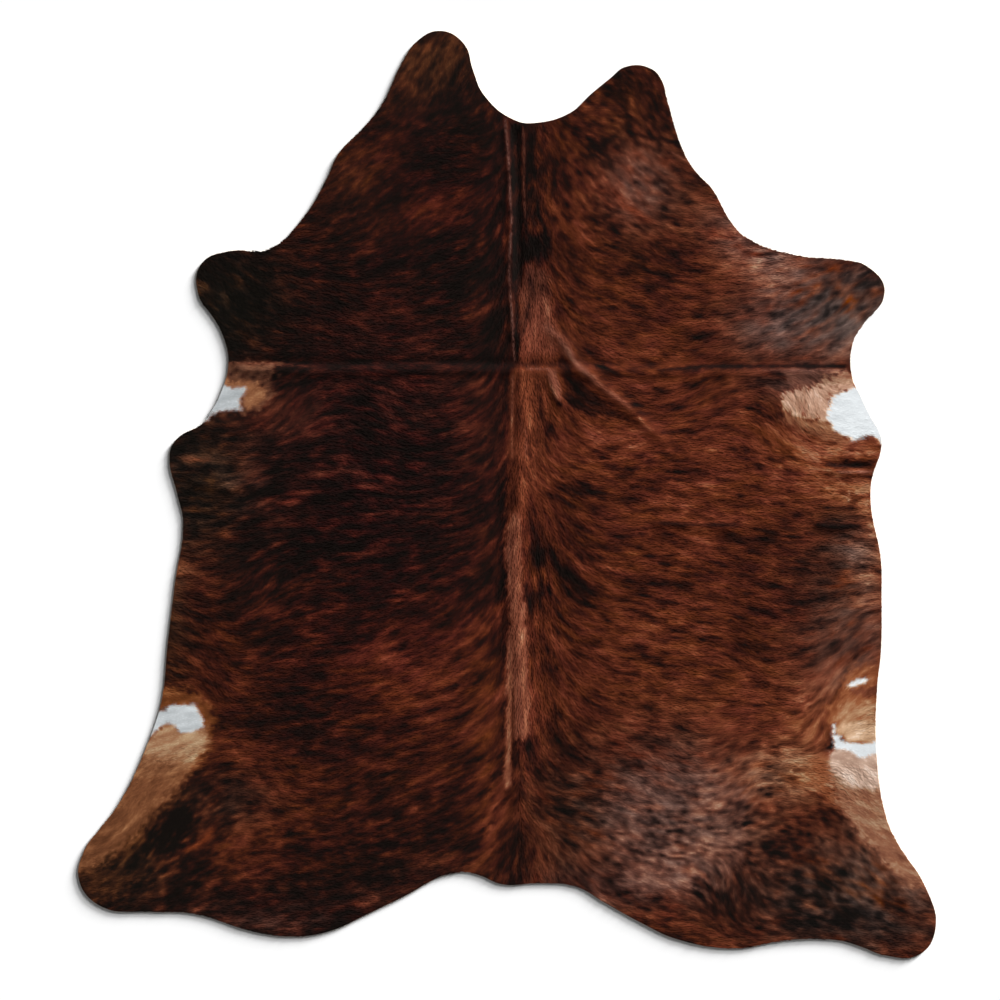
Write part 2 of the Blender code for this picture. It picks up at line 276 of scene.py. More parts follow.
# Columns: name, half width in mm, tone, greyness, how fully it covers, points as (x, y) in mm.
LINES = (
    *(("left elbow, spot", 5, 0.12, 0.06, 0.85, ((x - 4, y - 2), (x + 4, y + 2))) for x, y in SPOTS),
    ("right neck, orange streak", 11, 0.82, 0.0, 0.6, ((96, 748), (116, 716), (146, 676), (192, 650))),
    # Pale lines along the neck seam and down the back: paler hair, brightened as a painted highlight
    # where the seam's ridge and the channel's far side face the light.
    ("neck seam", 3.4, 0.86, 0.26, 0.9, ((-5, 941), (-2, 899), (5, 829), (8, 741), (12, 689), (5, 566),
                                         (10, 476), (15, 399), (19, 331))),
    ("neck seam, below the fold", 3.0, 0.90, 0.08, 0.8, ((14, 300), (13, 250), (12, 180))),
    ("neck seam, brightest", 2.8, 1.08, 0.04, 0.85, ((12, 195), (12, 140), (13, 88))),
    ("beside the seam, pink", 3.0, 0.92, 0.06, 0.7, ((46, 165), (48, 130), (47, 92))),
    ("neck second line", 3.4, 0.74, 0.14, 0.8, ((40, 916), (43, 850), (42, 780), (45, 690))),
    # Along the shoulder fold: painted shade, the dark lines in and above its trough, and painted
    # highlights, the light lines on the slope that faces the light.
    ("fold, middle", 9, 0.30, 0.0, 0.85, ((12, 326), (90, 326), (165, 324))),
    ("fold, light line", 2.2, 0.92, 0.16, 0.7, ((48, 315), (104, 315))),
    ("fold, left", 4, 0.05, 0.0, 0.6, ((-690, 338), (-560, 337))),
    ("fold, left, faint", 4, 0.06, 0.0, 0.4, ((-560, 336), (-300, 334), (-20, 331))),
    ("fold, left, light line", 2.5, 0.78, 0.08, 0.7, ((-702, 330), (-600, 327), (-495, 321))),
    ("fold, right", 5, 0.05, 0.0, 0.9, ((375, 309), (502, 322), (538, 320), (700, 321), (850, 319))),
    ("fold, right, light line", 2.2, 0.85, 0.20, 0.5, ((640, 311), (860, 310))),
    ("shoulder blade, bright", 11, 1.00, 0.06, 0.9, ((88, 500), (102, 462), (98, 424))),
    # Along the shoulder ridge: paler hair parted on its crest, brightened further as a painted highlight
    # and sheen.
    ("shoulder ridge, upper", 11, 0.94, 0.10, 0.85, ((92, 424), (118, 405), (140, 378), (160, 345))),
    ("shoulder ridge, middle", 9, 0.97, 0.12, 0.85, ((150, 362), (162, 340), (186, 314), (222, 283))),
    ("shoulder ridge, lower", 8, 0.99, 0.07, 0.9, ((215, 288), (252, 258), (286, 236), (312, 212))),
    ("shoulder ridge, end", 5, 1.06, 0.02, 0.9, ((326, 196), (348, 172), (366, 158))),
    ("spine strand, upper right", 3.6, 0.86, 0.03, 0.8, ((28, -92), (30, -160), (30, -239), (33, -276))),
    ("spine strand, upper left", 4, 0.98, 0.08, 0.8, ((5, -112), (4, -165), (5, -216))),
    ("spine strand, lower right", 3.4, 1.02, 0.03, 0.8, ((36, -336), (41, -400), (42, -526), (50, -600))),
    ("spine strand, lower left", 3.2, 0.96, 0.06, 0.7, ((8, -340), (7, -400), (9, -430))),
    ("spine strand, tail end", 6, 1.02, 0.03, 0.9, ((8, -440), (6, -520), (5, -600), (2, -664),
                                                    (0, -735))),
    ("black, right of the spine", 9, 0.05, 0.0, 0.8, ((74, -132), (98, -145))),
    ("black, right of the loin", 9, 0.08, 0.0, 0.8, ((66, -242), (90, -285))),
    ("black, left of the spine", 9, 0.08, 0.0, 0.8, ((-4, -230), (-24, -262))),
    ("golden, left of the spine", 8, 0.80, -0.02, 0.7, ((-2, -270), (-38, -292))),
    ("beside the tail end", 3, 0.20, 0.0, 0.6, ((15, -480), (15, -690))),
    ("black band right of the spine", 11, 0.04, 0.0, 0.85, ((108, -140), (135, -185), (165, -214),
                                                            (215, -258))),
    # Along the right flank crease: painted shade in the crease, and a painted highlight on its side that
    # faces the light.
    ("right flank crease", 8, 0.08, 0.0, 0.9, ((790, 75), (918, 76))),
    ("right flank crease, light line", 3.4, 1.05, 0.15, 0.85, ((826, 56), (916, 57))),
    ("right flank crease, lower", 4, 0.28, 0.0, 0.6, ((836, 47), (916, 46))),
    ("right flank, pale stroke", 3.2, 1.32, 0.05, 1.0, ((855, 10), (854, -18))),
    # A painted highlight along a crease near the right neck's edge.
    ("right neck, edge crease", 2.2, 0.98, 0.10, 0.65, ((410, 856), (445, 836), (482, 802))),
    ("left elbow, golden streak", 9, 0.86, 0.0, 0.9, ((-812, 88), (-738, 86))),
    ("left elbow, dark streak", 7, 0.04, 0.0, 0.7, ((-815, 62), (-735, 60))),
    # Painted shade along a crease in the left thigh.
    ("left thigh crease", 4, 0.04, 0.0, 0.85, ((-735, -838), (-705, -826), (-662, -809))),
    ("left thigh, golden streak", 7, 0.92, -0.03, 0.8, ((-732, -832), (-750, -858), (-772, -876),
                                                        (-805, -889))),
    # Painted shade along the belly creases.
    ("right belly end crease", 9, 0.0, 0.0, 1.0, ((765, -76), (830, -80), (890, -78))),
    ("right belly crease", 6, 0.12, 0.0, 0.8, ((360, -70), (470, -76), (575, -75))),
)
LINE_GRAIN = 11.0  # mm over which a line's width and strength change
LINE_UNEVENNESS = 0.45
LINE_BLUNTNESS = 0.4  # a line's strength at its very end
MARK_GRAIN = 6.0  # mm over which a mark's edge wanders
# Marks with an outline. Columns: name, tone, greyness, turn towards gold, whiteness, width of the
# soft edge in mm, raggedness of the edge in mm, how fully it covers, points as (x, y) in mm.
MARKS = (
    # Painted shade: the dark trough of the neck channel.
    ("neck channel", 0.02, 0.0, 0, 0.0, 4, 1, 0.9, (
        (10, 926), (35, 926), (35, 736), (36, 636), (40, 581), (38, 530), (30, 486), (32, 386), (30, 331),
        (20, 331), (20, 486), (15, 581), (10, 736))),
    ("black blotch", 0.05, 0.0, 0, 0.0, 12, 10, 0.9, (
        (30, 640), (52, 628), (74, 652), (96, 660), (104, 640), (98, 612), (82, 602), (64, 592),
        (46, 578), (26, 566), (16, 590), (20, 622))),
    ("upper black blotch", 0.10, 0.0, 0, 0.0, 16, 12, 0.7, ((44, 719), (84, 719), (88, 671), (44, 671))),
    ("shoulder blade strip", 0.55, 0.08, 0, 0.0, 26, 14, 0.7, (
        (44, 576), (84, 570), (102, 536), (104, 496), (98, 456), (92, 419), (60, 400), (32, 400),
        (30, 486))),
    ("shoulder blade, pink", 0.82, 0.04, -4, 0.0, 30, 12, 0.8, (
        (62, 470), (96, 500), (112, 430), (140, 372), (132, 350), (84, 346), (36, 344), (40, 400))),
    # Painted shadow: the dark lower side of the shoulder ridge, turned away from the light.
    ("below the shoulder ridge", 0.16, 0.0, 0, 0.0, 10, 6, 0.75, (
        (128, 356), (148, 336), (168, 306), (202, 266), (245, 231), (288, 206), (310, 194), (305, 184),
        (258, 189), (208, 199), (170, 216), (148, 246), (138, 286), (130, 316))),
    # Painted highlight and sheen along the small ridge.
    ("small ridge", 0.90, 0.08, 0, 0.0, 8, 4, 0.8, (
        (98, 314), (122, 314), (132, 274), (138, 241), (122, 231), (108, 266))),
    ("red strip", 0.75, 0.01, 0, 0.0, 14, 6, 0.7, (
        (8, 311), (95, 311), (100, 214), (90, 114), (44, -60), (-4, -96), (0, 120))),
    ("spine ridge", 0.96, 0.06, 0, 0.0, 9, 8, 0.8, (
        (-5, -96), (-2, -164), (-2, -239), (2, -294), (12, -319), (-2, -364), (-2, -439), (0, -509),
        (-5, -576), (-5, -639), (-10, -726), (12, -739), (12, -676), (15, -614), (52, -609), (56, -569),
        (56, -509), (52, -439), (52, -364), (46, -326), (50, -289), (40, -239), (38, -164), (38, -96),
        (28, -44), (12, -44))),
    # Painted sheen: the pinkish grey of hair reflecting the light over the right rump.
    ("right rump, mauve", 0.78, 0.19, 4, 0.0, 22, 18, 0.45, (
        (240, -748), (330, -694), (480, -690), (592, -735), (600, -850), (595, -925), (520, -960),
        (450, -940), (400, -975), (345, -1015), (310, -985), (270, -900), (240, -820))),
    ("left elbow", 0.80, 0.10, 14, 0.0, 14, 12, 0.85, (
        (-730, 331), (-562, 329), (-590, 314), (-588, 291), (-578, 261), (-592, 231), (-622, 206),
        (-664, 196), (-692, 220), (-738, 210), (-768, 194), (-800, 200), (-765, 300))),
    ("left elbow, golden", 1.00, 0.05, 14, 0.0, 8, 10, 0.9, (
        (-720, 298), (-690, 282), (-655, 288), (-625, 282), (-600, 258), (-604, 240), (-628, 216),
        (-656, 210), (-660, 240), (-680, 262), (-730, 270))),
    ("left elbow, dark mottles", 0.68, 0.12, 14, 0.0, 5, 22, 0.8, (
        (-696, 322), (-640, 325), (-585, 318), (-580, 296), (-625, 296), (-660, 300), (-690, 304))),
    ("right elbow, grey", 0.74, 0.15, 3, 0.0, 8, 16, 0.8, (
        (688, 312), (850, 314), (840, 296), (800, 286), (772, 272), (732, 258), (692, 258))),
    ("right elbow, upper", 1.17, 0.09, 4, 0.0, 12, 16, 0.9, (
        (764, 276), (800, 298), (850, 311), (890, 305), (890, 270), (830, 268), (780, 262))),
    ("right elbow, golden", 0.99, 0.06, 10, 0.0, 26, 12, 0.85, (
        (690, 214), (764, 190), (800, 190), (815, 168), (850, 152), (850, 134), (800, 134), (750, 150),
        (712, 168), (685, 190))),
    ("right elbow", 1.29, 0.07, -8, 0.0, 14, 9, 0.95, (
        (686, 252), (698, 260), (732, 266), (768, 270), (800, 276), (845, 280), (890, 282), (890, 258),
        (835, 256), (810, 246), (800, 200), (797, 186), (764, 188), (738, 196), (718, 202), (700, 211),
        (688, 228))),
    ("right elbow, rim", 1.34, 0.06, 0, 0.0, 4, 3, 0.8, (
        (687, 232), (691, 232), (703, 213), (720, 205), (740, 199), (764, 192), (797, 190), (797, 184),
        (764, 186), (738, 193), (717, 199), (698, 209), (687, 224))),
    ("left thigh, golden", 0.80, 0.0, 14, 0.0, 26, 14, 0.85, (
        (-868, -476), (-800, -486), (-742, -516), (-728, -566), (-738, -640), (-792, -700), (-835, -735),
        (-880, -700), (-905, -600), (-890, -540))),
    ("left thigh", 1.10, 0.10, 18, 0.0, 18, 8, 0.95, (
        (-892, -606), (-842, -566), (-800, -590), (-752, -581), (-745, -616), (-758, -642), (-774, -658),
        (-800, -690), (-850, -706), (-990, -706), (-970, -600))),
    ("left hind foot", 0.42, 0.03, 16, 0.0, 36, 18, 0.8, (
        (-1080, -900), (-1000, -930), (-960, -925), (-940, -965), (-970, -1010), (-1030, -1030),
        (-1100, -1010))),
    ("left hind leg edge", 0.88, 0.05, 16, 0.0, 42, 16, 0.9, (
        (-785, -670), (-802, -714), (-815, -744), (-842, -766), (-872, -794), (-895, -821), (-920, -849),
        (-950, -876), (-988, -906), (-1022, -929), (-1060, -942), (-1150, -940), (-1150, -870),
        (-1060, -780), (-1010, -720), (-980, -650))),
    ("right thigh, golden", 0.95, 0.0, 5, 0.0, 26, 12, 0.9, (
        (798, -554), (792, -524), (818, -506), (832, -479), (845, -444), (862, -424), (950, -420),
        (955, -640), (850, -640), (812, -600))),
    ("right thigh, lower golden", 0.98, 0.0, 3, 0.0, 26, 12, 0.9, (
        (762, -664), (798, -656), (808, -689), (822, -714), (832, -751), (845, -779), (822, -784),
        (798, -764), (772, -726), (752, -689))),
    ("right thigh, dark mottle", 0.60, 0.05, 0, 0.0, 10, 8, 0.7, (
        (852, -484), (880, -482), (932, -478), (936, -500), (905, -506), (870, -498))),
    ("right thigh", 1.13, 0.02, 5, 0.0, 16, 8, 0.95, (
        (820, -554), (828, -529), (852, -514), (888, -520), (950, -512), (950, -630), (858, -624),
        (840, -616), (822, -592))),
    ("right thigh, tan", 1.32, 0.06, 8, 0.0, 12, 6, 0.85, (
        (832, -578), (870, -570), (950, -568), (950, -626), (870, -618), (845, -612))),
    ("right hind leg edge", 1.06, 0.08, 6, 0.0, 26, 14, 0.9, (
        (806, -700), (812, -730), (824, -764), (846, -809), (879, -854), (912, -886), (946, -919),
        (979, -955), (1012, -985), (1075, -960), (1050, -880), (1020, -820), (995, -740), (995, -640),
        (888, -656), (860, -690))),
    ("right thigh, pink", 1.31, 0.22, -3, 0.0, 12, 9, 0.9, (
        (802, -644), (828, -637), (852, -637), (950, -650), (960, -735), (900, -735), (852, -727),
        (828, -710), (810, -684), (800, -659))),
    ("left elbow, white", 1.18, 0.0, 0, 1.0, 3, 4, 1.0, (
        (-700, 271), (-682, 264), (-665, 266), (-652, 271), (-655, 251), (-665, 236), (-665, 219),
        (-656, 212), (-692, 211), (-720, 208), (-738, 196), (-752, 184), (-775, 180), (-765, 240),
        (-718, 284))),
    ("right elbow, white", 1.5, 0.0, 0, 1.0, 4, 3, 1.0, (
        (871, 267), (855, 263), (835, 256), (810, 244), (805, 226), (800, 200), (797, 191), (804, 186),
        (812, 174), (814, 160), (835, 148), (858, 145), (857, 138), (855, 131), (870, 136), (895, 146),
        (915, 148), (925, 136), (938, 124), (965, 140), (955, 200), (915, 275))),
    ("left thigh, white", 1.26, 0.0, 0, 1.0, 3, 4, 1.0, (
        (-870, -540), (-850, -536), (-840, -528), (-812, -526), (-778, -524), (-774, -540), (-761, -559),
        (-758, -581), (-774, -588), (-790, -593), (-812, -596), (-823, -588), (-828, -575), (-844, -572),
        (-860, -575), (-872, -585), (-890, -605), (-915, -600), (-885, -540))),
    ("right thigh, white", 1.43, 0.0, 0, 1.0, 3, 2, 1.0, (
        (813, -574), (819, -575), (820, -601), (832, -606), (842, -619), (858, -620), (872, -622),
        (892, -623), (922, -618), (938, -617), (938, -647), (908, -648), (892, -657), (878, -656),
        (868, -647), (855, -640), (840, -638), (828, -640), (818, -638), (814, -619), (812, -601))),
    ("right thigh, white sliver", 1.5, 0.0, 0, 1.0, 3, 2, 1.0, (
        (851, -478), (860, -469), (875, -463), (892, -458), (901, -462), (890, -472), (872, -478),
        (858, -483))),
)

# --- Brindle: noise drawn out along the hair ---
# Columns: name, grain across in mm, half length in mm, share of the brindle.
STREAKS = (
    ("fine streaks", 7, 16, 0.80),
    ("streaks", 19, 38, 0.55),
    ("bands", 62, 85, 0.18),
)
# Thin dashes along the hair. Columns: name, grain across in mm, half length in mm, change of tone
# on a black coat, and on a tan one.
DASHES = (
    ("dark dashes", 8, 20, 0.0, -0.40),
    ("bright dashes", 8, 16, 0.13, 0.10),
)
MOTTLED_DASH_FADE = 0.25  # how much fainter dashes are where the coat is mottled
DASH_EDGE = (0.9, 1.7)  # where a dash begins and is full, in spreads of its noise
MOTTLES = (
    ("fine mottles", 7, 6, 0.90),
    ("mottles", 20, 13, 0.50),
    ("blotches", 60, 30, 0.30),
)
HUE_STREAKS = (
    ("fine tints", 10, 14, 0.7),
    ("tints", 34, 40, 0.5),
)
MOTTLED = 0.18  # share of mottles in the streaked coat
# Ovals where the brindle is mottled rather than streaked, and how much.
MOTTLED_PATCHES = {
    "left neck": ((-190, 1050, 140, 140, 0, 1.0), (-300, 820, 250, 200, 0, 0.5)),
    "left foreleg and shoulder": ((-700, 490, 150, 130, 0, 0.5),),
    "left elbow and chest": ((-760, 80, 120, 120, 0, 0.5),),
    "left rump": ((-420, -880, 300, 130, 0, 0.5),),
    "left hind leg": ((-860, -860, 300, 200, 20, 0.7),),
    "right neck": ((300, 850, 260, 240, 0, 1.0),),
    "right shoulder and foreleg": ((830, 500, 160, 140, 0, 0.9),),
    "right rump": ((440, -860, 300, 200, 0, 0.9),),
    "right hind leg": ((880, -940, 300, 160, 0, 1.0),),
}
BRINDLE_DEPTH = 0.122
# Ovals where the brindle is deeper, or fainter where the change is negative.
DEPTH_PATCHES = {
    "left neck": ((-180, 850, 250, 200, 0, -0.04),),
    "left foreleg and shoulder": ((-500, 420, 300, 150, 0, -0.04),),
    "left hind leg": ((-860, -860, 250, 160, 20, 0.03),),
    "right neck": ((250, 850, 300, 250, 0, 0.03),),
    "right back and flank": ((400, -60, 330, 420, 0, 0.015),),
    "right rump": ((440, -850, 230, 180, 0, 0.085),),
    "right hind leg": ((800, -950, 300, 120, 0, 0.04),),
}
SKEW = 0.5  # dark coats have bright streaks, and bright coats dark ones
SKEW_TURN = 0.45  # the tone at which streaks are even
MARK_DEPTH = 0.75  # share of the brindle left within marks
LINE_DEPTH = 0.3  # and of that, the share left within lines
PALE_DEPTH = 0.5  # the same within tan marks, which have only the finest streaks
WHITE_DEPTH = 0.35  # and within white ones
PALE = 0.82  # from this tone a mark counts as tan
# The greyness, which is partly a painted sheen, is speckled by the tints, darkens the coat where its
# speckles are greyer, and has a cap.
GREY_SPECKLE = 0.45
GREY_SHADE = 0.3
GREY_MOST = 0.38
TINT = 0.002  # how far the tints turn the hue
TINT_GREYING = 0.006
NOISE_TABLE = 256  # cells before the noise repeats
STEPS_PER_GRAIN = 2.5
COAT_STEP = 2.5  # mm between the points at which the coat is worked out

# --- The hair ---
# Columns: name, locks, length, width and lift in mm, change of tone, which is painted shade: the lower
# layers darker and the top one brighter, as the shade under the hair above.
HAIR_LAYERS = (
    ("hair_under", 47000, 22, 3.5, 0.42, -0.04),
    ("hair_lower", 47000, 22, 3.1, 0.56, -0.01),
    ("hair_middle", 47000, 21, 2.8, 0.70, 0.0),
    ("hair_top", 47000, 19, 2.5, 0.82, 0.02),
)
LOCK_WIDEST = 0.38  # share of its length at which a lock is widest
LOCK_STRAY = 6.0  # degrees by which single locks stray
LENGTH_SPREAD = 0.22  # of the locks' lengths, as a share
LENGTH_LIMITS = (0.5, 1.6)
WIDTH_SPREAD = 0.2
WIDTH_LIMITS = (0.5, 1.5)
LIFT_LIMITS = (0.7, 1.1)
NARROWING = 0.4  # how fast shorter locks get narrower
FLATTENING = 2  # and lie flatter
ROOT_GAP = 1.07  # between roots in a row, as a share of the gap that gives each lock the same area
ROOT_STRAY = 0.55  # how far a root strays from its row, as a share of the same gap
ROOT_INSET = 0.5  # mm that roots keep from the cut edge
SHORTEST = 0.1  # least share of its length that a lock at the edge keeps
LOCK_TONE_STRAY = 0.018
LOCK_ROUNDNESS = 0.11  # how far a lock's normals lean to its sides
ROOT_DEPTH = 0.4  # mm below the skin
OVERHANG = 1.2  # mm past the cut edge at which a straight lock would be cut short
LOWEST = 0.0002  # metres above the floor that hair never goes below
TIP_LIFT = 0.45  # share of the lift left at the tip
LEAST_RISE = 0.06  # mm by which a lock's middle stands above the line from its root to its tip
SEED = 11

# Where the hair is shorter. Columns: name, reach in mm, how much shorter, points as (x, y) in mm.
SHORT_HAIR = (
    ("shoulder fold", 26, 0.3, ((-720, 320), (870, 318))),
    ("shoulder ridge", 20, 0.35, ((96, 420), (178, 322), (226, 278), (304, 216), (358, 166), (410, 124))),
    ("left elbow", 75, 0.6, ((-760, 250), (-670, 245))),
    ("right elbow", 85, 0.6, ((860, 210), (960, 205))),
    ("left thigh", 70, 0.6, ((-900, -570), (-780, -560))),
    ("right thigh", 45, 0.6, ((815, -580), (820, -635), (900, -640), (960, -630))),
    ("right thigh sliver", 30, 0.5, ((850, -473), (905, -470))),
    ("neck seam", 14, 0.4, ((-5, 941), (5, 829), (12, 689), (10, 476), (13, 250), (13, 88))),
)
MOTTLED_LENGTH = 0.4  # how much shorter the hair is where the coat is mottled

FIELD_STEP = 8.0  # mm between the points at which slow values are worked out
FIELD_MARGIN = 60.0
DEPTH_STEP = 4.0  # mm between the points at which the way to the cut edge is worked out
HAIR_MARGIN = 8.0  # mm around the hide's box for which the coat and the relief are worked out
MAP_MARGIN = 12.0  # mm around the hide in its texture map

# --- Studio ---
CAMERA_HEIGHT = 6.0
CAMERA_PLACE = (-0.0175, -0.01375)
CAMERA_REACH = 50.0
VIEW_WIDTH = 2.5
SENSOR = 36.0
LIGHT_HEADING = 45.0  # degrees from +X towards +Y, where the light comes from
# Columns: name, degrees above the floor, strength, spread in degrees.
LIGHTS = (
    ("low_key", 7, 12.9, 9),
    ("high_key", 15.5, 6.0, 24),
)
SKY = 0.13
FLOOR_SIZE = 30.0
FLOOR_DROP = 0.0004
FLOOR_COLOUR = (0.9, 0.9, 0.9, 1.0)
FLOOR_ROUGHNESS = 0.8
FLOOR_GLOSS = 0.1


# === Numbers over the plan view ===

class PlanField:
    """Slow values worked out on an even grid in the plan view, and read from it at any point."""

    def __init__(self, low, high, step, work_out):
        self.low = np.asarray(low, float)
        self.step = step
        counts = np.ceil((np.asarray(high) - self.low) / step).astype(int) + 2
        xs = self.low[0] + step * np.arange(counts[0])
        ys = self.low[1] + step * np.arange(counts[1])
        grid = np.stack(np.meshgrid(xs, ys, indexing="ij"), axis=-1)
        values = work_out(grid.reshape(-1, 2))
        self.values = values.reshape(counts[0], counts[1], -1)

    def at(self, points):
        place = (points - self.low) / self.step
        cell = np.floor(place).astype(int)
        cell = np.clip(cell, 0, np.array(self.values.shape[:2]) - 2)
        share = np.clip(place - cell, 0.0, 1.0)
        column, row = cell[:, 0], cell[:, 1]
        east, north = share[:, 0:1], share[:, 1:2]
        south_side = self.values[column, row] * (1 - east) + self.values[column + 1, row] * east
        north_side = self.values[column, row + 1] * (1 - east) + self.values[column + 1, row + 1] * east
        return south_side * (1 - north) + north_side * north


def smooth_noise(points, grain, table):
    """Even noise from -1 to 1 whose grain is about that wide."""
    place = points / grain
    cell = np.floor(place).astype(int)
    share = place - cell
    share = share * share * (3 - 2 * share)
    column, row = cell[:, 0] % NOISE_TABLE, cell[:, 1] % NOISE_TABLE
    next_column, next_row = (column + 1) % NOISE_TABLE, (row + 1) % NOISE_TABLE
    east, north = share[:, 0], share[:, 1]
    south_side = table[column, row] * (1 - east) + table[next_column, row] * east
    north_side = table[column, next_row] * (1 - east) + table[next_column, next_row] * east
    return south_side * (1 - north) + north_side * north


def smooth_step(values, low, high):
    share = np.clip((values - low) / (high - low), 0.0, 1.0)
    return share * share * (3 - 2 * share)


def to_line(points, line):
    """How far each point is from a line of points, how far along it, and the line's length."""
    line = np.asarray(line, float)
    nearest = np.full(len(points), np.inf)
    along = np.zeros(len(points))
    walked = 0.0
    for start, end in zip(line, line[1:]):
        run = end - start
        length = np.hypot(*run)
        share = np.clip((points - start) @ run / length**2, 0.0, 1.0)
        away = np.hypot(*(points - start - share[:, None] * run).T)
        closer = away < nearest
        nearest[closer] = away[closer]
        along[closer] = walked + share[closer] * length
        walked += length
    return nearest, along, walked


def inside_ring(points, ring):
    """True for the points within a closed ring of points."""
    crossings = np.zeros(len(points), int)
    x, y = points.T
    for (ax, ay), (bx, by) in zip(ring, np.roll(ring, -1, axis=0)):
        if ay == by:
            continue
        spans = (ay > y) != (by > y)
        reach = ax + (y - ay) * (bx - ax) / (by - ay)
        crossings += spans & (reach > x)
    return crossings % 2 == 1


def depth_in_ring(points, ring):
    """How far within a closed ring each point lies, negative outside it."""
    ring = np.asarray(ring, float)
    away = to_line(points, np.vstack((ring, ring[:1])))[0]
    return np.where(inside_ring(points, ring), away, -away)


def all_rows(regions):
    """The rows of a table that is laid out by region."""
    return [row for rows in regions.values() for row in rows]


def in_patch(points, x, y, half_length, half_width, turn=0):
    """How strongly each point lies in a soft oval patch, from 0 to 1."""
    angle = math.radians(turn)
    east, north = points[:, 0] - x, points[:, 1] - y
    along = east * math.cos(angle) + north * math.sin(angle)
    across = north * math.cos(angle) - east * math.sin(angle)
    return np.exp(-((along / half_length) ** 2) - (across / half_width) ** 2)


# === The lie of the hair ===

def parting_at(y):
    line = np.array(PARTING[::-1], float)
    return np.interp(y, line[:, 1], line[:, 0])


def hair_heading(points):
    """The way the hair lies at each point, from root to tip, as a unit vector in plan."""
    offset = points[:, 0] - parting_at(points[:, 1])
    side = np.where(offset < 0, -1.0, 1.0)
    droop = np.zeros(len(points))
    for chosen, (far, gained, reach, sharpness) in ((offset < 0, LEFT_DROOP), (offset >= 0, RIGHT_DROOP)):
        away = np.abs(offset[chosen]) / reach
        droop[chosen] = far + gained * np.exp(-(away**sharpness))
    for x, y, reach, rise in all_rows(TURNS):
        droop -= rise * in_patch(points, x, y, reach, reach)
    angle = np.radians(droop)
    return np.stack((side * np.cos(angle), -np.sin(angle)), axis=1)


def hair_length(points):
    """The hair's length at each point as a share of its full length."""
    mottled = np.clip(patched(points, 0, MOTTLED_PATCHES), 0, 1)
    length = 1 - MOTTLED_LENGTH * mottled
    for _, reach, shorter, line in SHORT_HAIR:
        length *= 1 - shorter * np.exp(-((to_line(points, line)[0] / reach) ** 4))
    return length


def unit(vectors):
    return vectors / np.maximum(np.linalg.norm(vectors, axis=1, keepdims=True), 1e-9)


def turned(vectors, degrees):
    angle = np.radians(degrees)
    cosine, sine = np.cos(angle), np.sin(angle)
    x, y = vectors.T
    return np.stack((x * cosine - y * sine, x * sine + y * cosine), axis=1)


# === The coat's colouring ===

def streaks(points, headings, grain, half_length, table):
    """Noise drawn out along the hair, with a spread of one."""
    total = smooth_noise(points, grain, table)
    step = grain / 2
    for way in (-1.0, 1.0):
        place = points
        for _ in range(max(1, round(half_length / step))):
            place = place + way * step * headings.at(place)
            total = total + smooth_noise(place, grain, table)
    return total / total.std()


def drawn_noise(low, high, headings, rows, rng):
    """Reads several grains of drawn-out noise, each from a grid fine enough for it."""
    fields = []
    for _, grain, half_length, share in rows:
        table = rng.uniform(-1, 1, (NOISE_TABLE, NOISE_TABLE))

        def work_out(points):
            return share * streaks(points, headings, grain, half_length, table)

        fields.append(PlanField(low, high, grain / STEPS_PER_GRAIN, work_out))
    return fields


def read_noise(fields, points):
    value = sum(field.at(points)[:, 0] for field in fields)
    return value / value.std()


def patched(points, start, regions):
    """A value that changes in the soft ovals of a table."""
    value = np.full(len(points), float(start))
    for *oval, change in all_rows(regions):
        value += change * in_patch(points, *oval)
    return value


def slow_colouring(points):
    """The slow values of the coat: tone, greyness (partly a painted sheen), gold, how mottled and how
    deep the brindle is.
    """
    offset = points[:, 0] - parting_at(points[:, 1])
    right = smooth_step(offset, -TONE_TURN_WIDTH, 2 * TONE_TURN_WIDTH)
    tone = LEFT_TONE + (RIGHT_TONE - LEFT_TONE) * right + patched(points, 0, TONE_PATCHES)
    grey = patched(points, 0, GREY_AND_SHEEN_PATCHES)
    gold = patched(points, 0, GOLDEN_PATCHES) / 1000
    mottled = np.clip(patched(points, MOTTLED, MOTTLED_PATCHES), 0, 1)
    depth = patched(points, BRINDLE_DEPTH, DEPTH_PATCHES)
    return np.stack((tone, grey, gold, mottled, depth), axis=1)


def near(points, line, margin):
    """True for the points within a line's box and a margin around it."""
    line = np.asarray(line, float)
    return ((points > line.min(0) - margin) & (points < line.max(0) + margin)).all(axis=1)


def cover(values, chosen, share, tone, grey, gold, white, brindled, fine):
    """Takes the coat's values part of the way to those of a line or a mark."""
    if white:
        own = WHITE_DEPTH * fine[chosen]
    elif tone >= PALE:
        own = PALE_DEPTH * fine[chosen]
    else:
        own = MARK_DEPTH * brindled[chosen]
    values[chosen, 0] += share * (tone + own - values[chosen, 0])
    values[chosen, 1] += share * (grey - values[chosen, 1])
    values[chosen, 2] += share * (white - values[chosen, 2])
    values[chosen, 3] += share * (gold / 1000 - values[chosen, 3])


def draw_marks(values, points, brindled, fine, table):
    for _, tone, grey, gold, white, soft, ragged, strength, ring in MARKS:
        chosen = near(points, ring, soft + ragged)
        uneven = smooth_noise(points[chosen], MARK_GRAIN, table)
        depth = depth_in_ring(points[chosen], ring) + ragged * uneven
        share = strength * smooth_step(depth, -soft / 2, soft / 2)
        cover(values, chosen, share, tone, grey, gold, white, brindled, fine)


def draw_lines(values, points, brindled, fine, table):
    for _, half_width, tone, grey, strength, line in LINES:
        chosen = near(points, line, 3 * half_width)
        away, along, length = to_line(points[chosen], line)
        uneven = smooth_noise(points[chosen], LINE_GRAIN, table)
        share = strength * np.exp(-((away / half_width / (1 + LINE_UNEVENNESS * uneven)) ** 2))
        share *= np.clip(np.minimum(along, length - along) / half_width / 2 + LINE_BLUNTNESS, 0.0, 1.0)
        share *= 1 - LINE_UNEVENNESS * uneven**2
        cover(values, chosen, share, tone, grey, 0.0, 0.0, LINE_DEPTH * brindled, fine)


